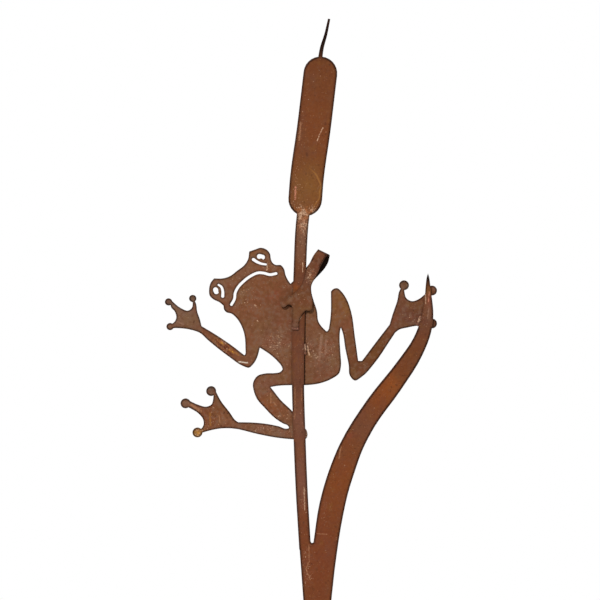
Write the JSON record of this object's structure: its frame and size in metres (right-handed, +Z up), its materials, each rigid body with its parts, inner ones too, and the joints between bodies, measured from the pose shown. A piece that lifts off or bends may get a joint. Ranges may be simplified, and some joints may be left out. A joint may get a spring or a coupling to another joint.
{
  "type": "garden stake ornament",
  "caption": "Rusted sheet-steel garden stake: a flat-cut frog climbing a bulrush, with one arm folded round the stem and a ground point.",
  "frame": {"origin": "on the blade's middle line at the soil line, in the middle of the reed sheet's thickness", "axes": "+Z is up, along the stake's length. The front, with the hand that grips the stem, faces -Y. +X is to the right seen from the front."},
  "size_m": [0.3587, 0.0171, 1.0003],
  "materials": {
    "reed_sheet": "rusted, matt",
    "frog_sheet": "rusted, matt",
    "bead": "rusted weld metal, matt"
  },
  "bodies": {
    "root": {"reed_plate": "reed_sheet", "frog_plate": "frog_sheet", "weld_wrist": "bead", "weld_finger": "bead", "weld_side": "bead", "weld_ankle": "bead", "weld_leaf": "bead", "weld_neck_back": "bead", "weld_belly_back": "bead"}
  },
  "joints": []
}
